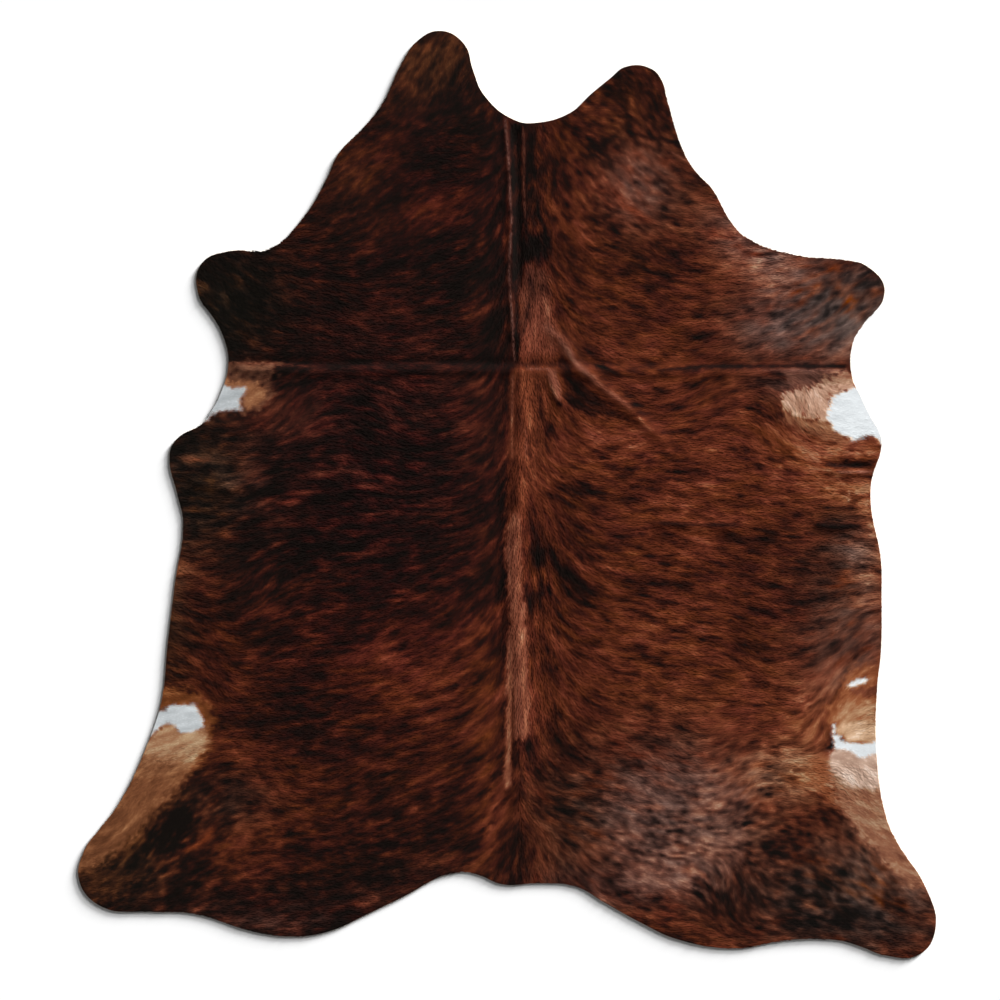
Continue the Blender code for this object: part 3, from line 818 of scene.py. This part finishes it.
def coat_values(points, low, high, headings, rng):
    """Tone, greyness, whiteness and turn of the hue at each point of the coat, with the painted shade,
    highlights and sheen of its creases and ridges.
    """
    table = rng.uniform(-1, 1, (NOISE_TABLE, NOISE_TABLE))
    slow = PlanField(low, high, FIELD_STEP, slow_colouring).at(points)
    drawn = read_noise(drawn_noise(low, high, headings, STREAKS, rng), points)
    mottles = read_noise(drawn_noise(low, high, headings, MOTTLES, rng), points)
    tint = read_noise(drawn_noise(low, high, headings, HUE_STREAKS, rng), points)
    tone, grey, gold, mottled, depth = slow.T
    drawn = drawn * np.sqrt(1 - mottled) + mottles * np.sqrt(mottled)
    drawn += SKEW * (SKEW_TURN - tone) * (drawn**2 - 1)
    brindled = depth * drawn - GREY_SHADE * grey * tint
    for name, grain, half_length, on_black, on_tan in DASHES:
        row = (name, grain, half_length, 1.0)
        dashes = read_noise(drawn_noise(low, high, headings, (row,), rng), points)
        change = on_black + (on_tan - on_black) * np.clip(tone, 0, 1)
        change *= 1 - MOTTLED_DASH_FADE * mottled
        brindled += change * smooth_step(dashes, *DASH_EDGE)
    fine = depth * dashes
    grey = np.minimum(grey * (1 + GREY_SPECKLE * tint), GREY_MOST) - TINT_GREYING * tint
    values = np.stack((tone + brindled, grey, np.zeros(len(points)), gold + TINT * tint), axis=1)
    draw_marks(values, points, brindled, fine, table)
    draw_lines(values, points, brindled, fine, table)
    return values


# === Meshes ===

def cut_edge(node):
    """The hide's cut edge on the floor, in order, read from the solid's own underside."""
    shape = bmesh.new()
    shape.from_mesh(node.data)
    bmesh.ops.remove_doubles(shape, verts=shape.verts, dist=WELD)

    def on_the_floor(face):
        return all(vertex.co.z < ON_THE_FLOOR for vertex in face.verts)

    rim = [side for side in shape.edges if sum(map(on_the_floor, side.link_faces)) == 1]
    neighbours = {}
    for side in rim:
        first, second = side.verts
        neighbours.setdefault(first, []).append(second)
        neighbours.setdefault(second, []).append(first)
    start = rim[0].verts[0]
    before, here = start, neighbours[start][0]
    loop = [start.co.xy.copy()]
    while here != start:
        loop.append(here.co.xy.copy())
        before, here = here, next(v for v in neighbours[here] if v != before)
    shape.free()
    return np.array(loop) / MM


def rounded(loop, step):
    """The same closed line with its corners eased, as points about a step apart."""
    before, after, beyond = np.roll(loop, 1, 0), np.roll(loop, -1, 0), np.roll(loop, -2, 0)
    points = []
    for a, b, c, d in zip(before, loop, after, beyond):
        count = max(1, round(np.hypot(*(c - b)) / step))
        for index in range(count):
            t = index / count
            bend = (2 * a - 5 * b + 4 * c - d) * t * t + (3 * b - a - 3 * c + d) * t**3
            points.append(b + ((c - a) * t + bend) / 2)
    return np.array(points)


def relief(points):
    """How far the upper face of the skin stands above or below a plain sheet, in mm."""
    waves = points * MM / UNEVENNESS_WAVE
    height = np.array([noise.noise((x, y, 0.0)) for x, y in waves]) * UNEVENNESS / MM
    for _, crest, half_width, line in CREASES:
        chosen = near(points, line, 3 * half_width)
        away, along, length = to_line(points[chosen], line)
        fade = np.clip(np.minimum(along, length - along) / (2 * half_width), 0.0, 1.0)
        height[chosen] += crest * np.exp(-((away / half_width) ** 2)) * fade
    return height


def staggered(low, high, gap):
    """Points in staggered rows over a box."""
    row_gap = gap * math.sqrt(3) / 2
    rows = np.arange(low[1], high[1], row_gap)
    columns = np.arange(low[0], high[0], gap)
    grid = np.stack(np.meshgrid(columns, rows), axis=-1)
    grid[1::2, :, 0] += gap / 2
    return grid.reshape(-1, 2)


def plan_map(points, frame_low, frame_side):
    """Texture coordinates of points seen from straight above."""
    return (points - frame_low) / frame_side


def new_mesh(name, vertices, triangles):
    mesh = bpy.data.meshes.new(name)
    mesh.vertices.add(len(vertices))
    mesh.vertices.foreach_set("co", vertices.astype(np.float32).ravel())
    mesh.loops.add(triangles.size)
    mesh.loops.foreach_set("vertex_index", triangles.astype(np.int32).ravel())
    mesh.polygons.add(len(triangles))
    mesh.polygons.foreach_set("loop_start", np.arange(0, triangles.size, 3, dtype=np.int32))
    mesh.update(calc_edges=True)
    return mesh


def set_vectors(mesh, name, values):
    attribute = mesh.attributes.new(name, "FLOAT_VECTOR", "POINT")
    attribute.data.foreach_set("vector", values.astype(np.float32).ravel())


def set_plan_map(mesh, corners):
    layer = mesh.uv_layers.new(name="OFBake")
    layer.data.foreach_set("uv", corners.astype(np.float32).ravel())


def add_piece(name, mesh):
    piece = bpy.data.objects.new(name, mesh)
    bpy.context.scene.collection.objects.link(piece)
    return piece


class Hide:
    """What every piece needs to know of the hide, in millimetres."""

    def __init__(self, node):
        loop = cut_edge(node)
        self.edge = rounded(loop, EDGE_STEP / MM)
        self.low, self.high = self.edge.min(0), self.edge.max(0)
        low, high = self.low - FIELD_MARGIN, self.high + FIELD_MARGIN
        rng = np.random.default_rng(SEED)
        self.depth = PlanField(low, high, DEPTH_STEP, lambda points: depth_in_ring(points, loop))
        self.headings = PlanField(low, high, FIELD_STEP, hair_heading)
        self.length = PlanField(low, high, FIELD_STEP, hair_length)
        near_low, near_high = self.low - HAIR_MARGIN, self.high + HAIR_MARGIN
        self.relief = PlanField(near_low, near_high, RELIEF_STEP, relief)
        self.coat = PlanField(near_low, near_high, COAT_STEP,
                              lambda points: coat_values(points, low, high, self.headings, rng))
        self.map_low = self.low - MAP_MARGIN
        self.map_side = (self.high - self.low).max() + 2 * MAP_MARGIN

    def height(self, points):
        """The upper face's height in metres."""
        return SKIN_THICKNESS + self.relief.at(points)[:, 0] * MM

    def upward(self, points):
        """The way the upper face looks at each point."""
        step = RELIEF_STEP
        east = self.relief.at(points + (step, 0)) - self.relief.at(points - (step, 0))
        north = self.relief.at(points + (0, step)) - self.relief.at(points - (0, step))
        return unit(np.hstack((-east, -north, np.full((len(points), 1), 2 * step))))


def skin_points(hide):
    inner = staggered(hide.low, hide.high, SKIN_SPACING / MM)
    inner = inner[hide.depth.at(inner)[:, 0] > SKIN_CLEARANCE / MM]
    return np.vstack((hide.edge, inner))


def fill_ring(points, ring_size):
    """Triangles between points, the first of which are a closed ring."""
    ring = [(index, (index + 1) % ring_size) for index in range(ring_size)]
    placed, _, faces, *_ = delaunay_2d_cdt([Vector(p) for p in points], ring, [], INSIDE_THE_RING, WELD)
    return np.array([tuple(p) for p in placed]), np.array(faces)


def skin_mesh(hide):
    """One closed sheet. Faces of the upper side come first, then the rim, then the underside."""
    ring_size = len(hide.edge)
    plan, upper_faces = fill_ring(skin_points(hide), ring_size)
    _, lower_faces = fill_ring(hide.edge, ring_size)
    upper = np.column_stack((plan * MM, hide.height(plan)))
    lower = np.column_stack((hide.edge * MM, np.zeros(ring_size)))
    here = np.arange(ring_size)
    after = np.roll(here, -1)
    below, below_after = here + len(upper), after + len(upper)
    rim = np.vstack((np.stack((here, below, below_after), 1), np.stack((here, below_after, after), 1)))
    if signed_area(hide.edge) < 0:
        rim = rim[:, ::-1]
    triangles = np.vstack((upper_faces, rim, lower_faces[:, ::-1] + len(upper)))
    mesh = new_mesh("skin", np.vstack((upper, lower)), triangles)
    counts = (len(upper_faces), len(rim), len(lower_faces))
    return mesh, np.vstack((plan, hide.edge)), triangles, counts


def signed_area(ring):
    x, y = ring.T
    return 0.5 * np.sum(x * np.roll(y, -1) - y * np.roll(x, -1))


def skin_map(hide, plan, triangles, counts):
    """The upper side fills the map as seen from above, and the underside sits small in a free corner."""
    rim_spread = 5.0
    corner_scale, corner_place = 0.18, np.array((0.01, 0.81))
    middle = (hide.low + hide.high) / 2
    ring_start = len(plan) - len(hide.edge)
    outward = plan.copy()
    outward[ring_start:] += rim_spread * unit(plan[ring_start:] - middle)
    flat = plan_map(outward, hide.map_low, hide.map_side)[triangles]
    small = plan_map(plan, hide.map_low, hide.map_side)[triangles] * corner_scale + corner_place
    upper_and_rim = counts[0] + counts[1]
    flat[upper_and_rim:] = small[upper_and_rim:]
    return flat.reshape(-1, 2)


def skin(hide, coat, suede):
    mesh, plan, triangles, counts = skin_mesh(hide)
    values = hide.coat.at(plan)
    set_vectors(mesh, "coat", values[:, :3] + (UNDER_HAIR_SHADE, 0.0, 0.0))
    set_vectors(mesh, "strand", np.column_stack((plan * MM, values[:, 3])))
    set_plan_map(mesh, skin_map(hide, plan, triangles, counts))
    mesh.materials.append(coat)
    mesh.materials.append(suede)
    slots = np.ones(len(triangles), np.int32)
    slots[:counts[0]] = 0
    mesh.polygons.foreach_set("material_index", slots)
    mesh.shade_smooth()
    mesh.set_sharp_from_angle(angle=math.radians(SHARP_EDGE))
    return add_piece("skin", mesh)


# A lock is a slender closed body of four faces: its root, two sides where it is widest, and its tip.
LOCK_FACES = np.array(((0, 2, 1), (3, 1, 2), (0, 1, 3), (0, 3, 2)))
LOCK_CORNERS = 4


def lock_roots(hide, count, rng):
    """Roots all over the hide, evenly but not in rows."""
    gap = math.sqrt(FLAT_AREA / count) / MM
    roots = staggered(hide.low, hide.high, gap * ROOT_GAP)
    roots = roots + rng.uniform(-ROOT_STRAY, ROOT_STRAY, roots.shape) * gap
    return roots[hide.depth.at(roots)[:, 0] > ROOT_INSET]


def held_back(hide, roots, steps):
    """Shortens the locks that would reach too far past the cut edge."""
    start = hide.depth.at(roots)[:, 0]
    end = hide.depth.at(roots + steps)[:, 0]
    room = (start + OVERHANG) / np.maximum(start - end, 1e-6)
    return np.where(end < -OVERHANG, np.clip(room, SHORTEST, 1.0), 1.0)


def by_corner(*columns):
    """One row for each lock's corner, from one array for each of the corners."""
    rows = np.stack(columns, axis=1)
    return rows.reshape(-1, *rows.shape[2:])


def never_hollow(height):
    """Keeps each lock's middle above the line from its root to its tip, also across a trough."""
    corners = height.reshape(-1, LOCK_CORNERS)
    line = corners[:, 0] * (1 - LOCK_WIDEST) + corners[:, 3] * LOCK_WIDEST
    corners[:, 1:3] = np.maximum(corners[:, 1:3], line[:, None] + LEAST_RISE * MM)
    return corners.ravel()


def hair_layer(hide, row, seed, material):
    name, count, length, width, lift, layer_shade = row
    rng = np.random.default_rng(seed)
    roots = lock_roots(hide, count, rng)
    number = len(roots)
    stray = rng.normal(0, LOCK_STRAY, number)
    local = hide.length.at(roots)[:, 0]
    reach = length * local * np.clip(rng.normal(1, LENGTH_SPREAD, number), *LENGTH_LIMITS)
    heading = turned(unit(hide.headings.at(roots)), stray)
    reach *= held_back(hide, roots, heading * reach[:, None])
    middle = roots + heading * (reach * LOCK_WIDEST)[:, None]
    onward = turned(unit(hide.headings.at(middle)), stray + rng.normal(0, LOCK_STRAY, number))
    tips = middle + onward * (reach * (1 - LOCK_WIDEST))[:, None]
    sideways = np.stack((-heading[:, 1], heading[:, 0]), axis=1)
    breadth = np.clip(rng.normal(1, WIDTH_SPREAD, number), *WIDTH_LIMITS)
    half_width = width / 2 * local**NARROWING * breadth
    across = sideways * half_width[:, None]
    raised = lift * local**FLATTENING * rng.uniform(*LIFT_LIMITS, number)

    plan = by_corner(roots, middle + across, middle - across, tips)
    rise = by_corner(np.full(number, -ROOT_DEPTH), raised, raised, raised * TIP_LIFT)
    past = np.clip(-hide.depth.at(plan)[:, 0], 0.0, OVERHANG)
    height = hide.height(plan) + (rise - past) * MM
    height = never_hollow(np.maximum(height, LOWEST))
    vertices = np.column_stack((plan * MM, height))
    triangles = (LOCK_FACES[None] + LOCK_CORNERS * np.arange(number)[:, None, None]).reshape(-1, 3)
    mesh = new_mesh(name, vertices, triangles)

    values = hide.coat.at(plan)
    values[:, 0] += np.repeat(layer_shade + rng.normal(0, LOCK_TONE_STRAY, number), LOCK_CORNERS)
    values[:, 2] = np.repeat(values[::LOCK_CORNERS, 2], LOCK_CORNERS)
    set_vectors(mesh, "coat", values[:, :3])
    begin = rng.uniform(0, 1000, number)
    none = np.zeros(number)
    along = begin + reach * LOCK_WIDEST
    along = by_corner(begin, along, along, begin + reach)
    beside = by_corner(none, half_width, -half_width, none)
    set_vectors(mesh, "strand", np.column_stack((along * MM, beside * MM, values[:, 3])))
    set_plan_map(mesh, plan_map(plan, hide.map_low, hide.map_side)[triangles].reshape(-1, 2))
    mesh.materials.append(material)
    mesh.shade_smooth()
    lean = by_corner(0 * sideways, LOCK_ROUNDNESS * sideways, -LOCK_ROUNDNESS * sideways, 0 * sideways)
    upward = hide.upward(plan)
    upward[:, :2] += lean
    mesh.normals_split_custom_set_from_vertices(unit(upward))
    return add_piece(name, mesh)


# === Materials ===

UNDER_HAIR_SHADE = -0.05  # painted shade: the skin seen between the hairs is darker, as the shade under them
TONE_TOP = 1.5
# Columns: tone, and its colour in 8-bit red, green and blue as the eye sees it.
TONES = (
    (0.00, (15, 11, 9)),
    (0.10, (20, 12, 10)),
    (0.25, (33, 15, 11)),
    (0.40, (50, 21, 13)),
    (0.55, (68, 30, 17)),
    (0.70, (85, 39, 22)),
    (0.85, (105, 52, 31)),
    (1.00, (131, 75, 48)),
    (1.15, (152, 112, 82)),
    (1.30, (182, 142, 112)),
    (1.50, (216, 190, 168)),
)
COAT_GAIN = 1.34  # makes up for the shade between the hairs
# White hair, by the same tone values.
WHITE_TONES = ((1.0, (126, 130, 132)), (1.5, (200, 204, 206)))
HAIR_ROUGHNESS = 0.5
HAIR_GLOSS = 0.02
GREYING = 1.35  # how fast greyness takes the colour away
# Grains of noise: waves a metre along each axis of the strand, and levels of detail.
HAIR_GRAIN = ((45.0, 1500.0, 0.0), 2.0)
SUEDE_NAP = ((400.0, 400.0, 0.0), 6.0)
SUEDE_CLOUDS = ((9.0, 9.0, 0.0), 3.0)
FINE_TONE = 0.03  # the tone's change from hair to hair
HAIR_BUMP = (0.25, 0.0003)  # strength, and depth in metres
SUEDE_COLOURS = ((0.0, (176, 150, 118)), (1.0, (206, 184, 152)))
SUEDE_ROUGHNESS = 0.9
SUEDE_BUMP = (0.5, 0.0004)


def linear(colour, gain=1.0):
    """A colour as the eye sees it, in 8-bit steps, as linear light."""
    shares = np.array(colour, float) / 255
    light = np.where(shares <= 0.04045, shares / 12.92, ((shares + 0.055) / 1.055) ** 2.4)
    return (*np.clip(light * gain, 0.0, 1.0), 1.0)


def new_material(name):
    material = bpy.data.materials.new(name)
    material.use_nodes = True
    nodes = material.node_tree.nodes
    return material, nodes, material.node_tree.links, nodes["Principled BSDF"]


def maths(nodes, links, operation, first, second):
    """A Math node. Each side is a number or another node's output."""
    node = nodes.new("ShaderNodeMath")
    node.operation = operation
    for socket, value in zip(node.inputs, (first, second)):
        if isinstance(value, (int, float)):
            socket.default_value = value
        else:
            links.new(value, socket)
    return node.outputs[0]


def attribute_parts(nodes, links, name):
    attribute = nodes.new("ShaderNodeAttribute")
    attribute.attribute_name = name
    parts = nodes.new("ShaderNodeSeparateXYZ")
    links.new(attribute.outputs["Vector"], parts.inputs[0])
    return attribute.outputs["Vector"], parts.outputs


def fine_noise(nodes, links, vector, scale, detail):
    stretch = nodes.new("ShaderNodeVectorMath")
    stretch.operation = "MULTIPLY"
    links.new(vector, stretch.inputs[0])
    stretch.inputs[1].default_value = scale
    grain = nodes.new("ShaderNodeTexNoise")
    grain.inputs["Scale"].default_value = 1.0
    grain.inputs["Detail"].default_value = detail
    links.new(stretch.outputs[0], grain.inputs["Vector"])
    return grain.outputs["Fac"]


def colour_ramp(nodes, links, value, rows, top=1.0, gain=1.0):
    """A ramp from rows of a value, up to its top, and the colour it gives."""
    ramp = nodes.new("ShaderNodeValToRGB")
    links.new(value, ramp.inputs[0])
    stops = ramp.color_ramp.elements
    stops[0].position = rows[0][0] / top
    stops[1].position = rows[-1][0] / top
    for place, _ in rows[1:-1]:
        stops.new(place / top)
    for stop, (_, colour) in zip(stops, rows):
        stop.color = linear(colour, gain)
    return ramp.outputs["Color"]


def add_bump(nodes, links, shader, height, strength, distance):
    bump = nodes.new("ShaderNodeBump")
    bump.inputs["Strength"].default_value = strength
    bump.inputs["Distance"].default_value = distance
    links.new(height, bump.inputs["Height"])
    links.new(bump.outputs["Normal"], shader.inputs["Normal"])


def coat_material(name):
    material, nodes, links, shader = new_material(name)
    _, (tone, grey, white) = attribute_parts(nodes, links, "coat")
    strand, (_, _, hue) = attribute_parts(nodes, links, "strand")
    hairs = fine_noise(nodes, links, strand, *HAIR_GRAIN)
    finer = maths(nodes, links, "MULTIPLY", maths(nodes, links, "SUBTRACT", hairs, 0.5), FINE_TONE)
    tone = maths(nodes, links, "DIVIDE", maths(nodes, links, "ADD", tone, finer), TONE_TOP)

    greyed = nodes.new("ShaderNodeHueSaturation")
    coat = colour_ramp(nodes, links, tone, TONES, TONE_TOP, COAT_GAIN)
    links.new(coat, greyed.inputs["Color"])
    kept = maths(nodes, links, "SUBTRACT", 1.0, maths(nodes, links, "MULTIPLY", grey, GREYING))
    links.new(kept, greyed.inputs["Saturation"])
    links.new(maths(nodes, links, "ADD", hue, 0.5), greyed.inputs["Hue"])

    mix = nodes.new("ShaderNodeMix")
    mix.data_type = "RGBA"
    links.new(white, mix.inputs["Factor"])
    links.new(greyed.outputs["Color"], mix.inputs["A"])
    links.new(colour_ramp(nodes, links, tone, WHITE_TONES, TONE_TOP, COAT_GAIN), mix.inputs["B"])
    links.new(mix.outputs["Result"], shader.inputs["Base Color"])
    shader.inputs["Roughness"].default_value = HAIR_ROUGHNESS
    shader.inputs["Specular IOR Level"].default_value = HAIR_GLOSS
    add_bump(nodes, links, shader, hairs, *HAIR_BUMP)
    return material


def suede_material():
    material, nodes, links, shader = new_material("suede")
    strand, _ = attribute_parts(nodes, links, "strand")
    nap = fine_noise(nodes, links, strand, *SUEDE_NAP)
    clouds = fine_noise(nodes, links, strand, *SUEDE_CLOUDS)
    links.new(colour_ramp(nodes, links, clouds, SUEDE_COLOURS), shader.inputs["Base Color"])
    shader.inputs["Roughness"].default_value = SUEDE_ROUGHNESS
    add_bump(nodes, links, shader, nap, *SUEDE_BUMP)
    return material


# === Studio ===

def floor():
    bpy.ops.mesh.primitive_plane_add(size=FLOOR_SIZE, location=(0, 0, -FLOOR_DROP))
    plane = bpy.context.object
    plane.name = "floor"
    material, _, _, shader = new_material("pale_floor")
    shader.inputs["Base Color"].default_value = FLOOR_COLOUR
    shader.inputs["Roughness"].default_value = FLOOR_ROUGHNESS
    shader.inputs["Specular IOR Level"].default_value = FLOOR_GLOSS
    plane.data.materials.append(material)
    return plane


def camera():
    data = bpy.data.cameras.new("camera")
    data.sensor_width = SENSOR
    data.lens = SENSOR * CAMERA_HEIGHT / VIEW_WIDTH
    data.clip_end = CAMERA_REACH
    view = bpy.data.objects.new("camera", data)
    view.location = (*CAMERA_PLACE, CAMERA_HEIGHT)
    bpy.context.scene.collection.objects.link(view)
    bpy.context.scene.camera = view


def lights():
    scene = bpy.context.scene
    world = bpy.data.worlds.new("sky")
    world.use_nodes = True
    world.node_tree.nodes["Background"].inputs["Strength"].default_value = SKY
    world.node_tree.nodes["Background"].inputs["Color"].default_value = (1.0, 1.0, 1.0, 1.0)
    scene.world = world
    for name, height, strength, spread in LIGHTS:
        data = bpy.data.lights.new(name, "SUN")
        data.energy = strength
        data.angle = math.radians(spread)
        light = bpy.data.objects.new(name, data)
        light.rotation_euler = (math.radians(90 - height), 0, math.radians(90 + LIGHT_HEADING))
        scene.collection.objects.link(light)
    scene.view_settings.view_transform = "Standard"
    scene.view_settings.look = "None"


def main():
    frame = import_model()
    hide = Hide(frame["nodes"]["cowhide"])
    coat = coat_material("hair_coat")
    sheet = skin(hide, coat, suede_material())
    layers = [
        hair_layer(hide, row, SEED + 1 + number, coat) for number, row in enumerate(HAIR_LAYERS)
    ]
    for piece in (sheet, *layers):
        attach(piece, "root")
    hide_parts("cowhide")
    floor()
    camera()
    lights()


main()
